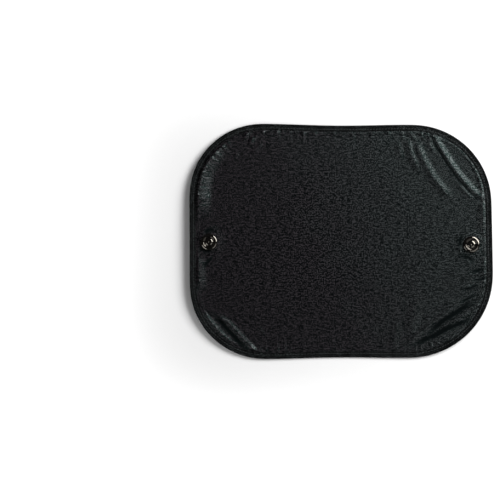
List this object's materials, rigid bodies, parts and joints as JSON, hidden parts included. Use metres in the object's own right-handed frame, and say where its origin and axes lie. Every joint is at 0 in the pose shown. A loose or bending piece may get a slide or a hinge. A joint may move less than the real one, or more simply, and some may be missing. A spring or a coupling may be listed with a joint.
{
  "type": "car side window sunshade",
  "caption": "Flat sheer cloth shade kept taut by a sprung wire hoop in a sewn edge binding, with a suction cup near each end to hold it on a side window.",
  "frame": {"origin": "on the surface the shade lies on, under the middle of its outline", "axes": "+X along the shade's length towards the cup that stands slightly lower on it, +Y towards its top edge, +Z out of the front face, away from the glass"},
  "size_m": [0.45, 0.35, 0.0162],
  "materials": {
    "mesh_cloth": "sheer woven black cloth with a soft sheen",
    "binding_tape": "matt black twill tape",
    "seam_thread": "black sewing thread",
    "spring_wire": "bright drawn spring steel",
    "cup_plastic": "glossy soft black plastic",
    "eyelet_plastic": "matt black plastic"
  },
  "bodies": {
    "root": {"mesh_cloth": "mesh_cloth", "edge_binding": "binding_tape", "hoop_wire": "spring_wire", "wire_sleeve": "spring_wire", "front_seam_thread": "seam_thread", "back_seam_thread": "seam_thread", "left_suction_cup": "cup_plastic", "right_suction_cup": "cup_plastic", "left_eyelet": "eyelet_plastic", "right_eyelet": "eyelet_plastic"}
  },
  "joints": []
}
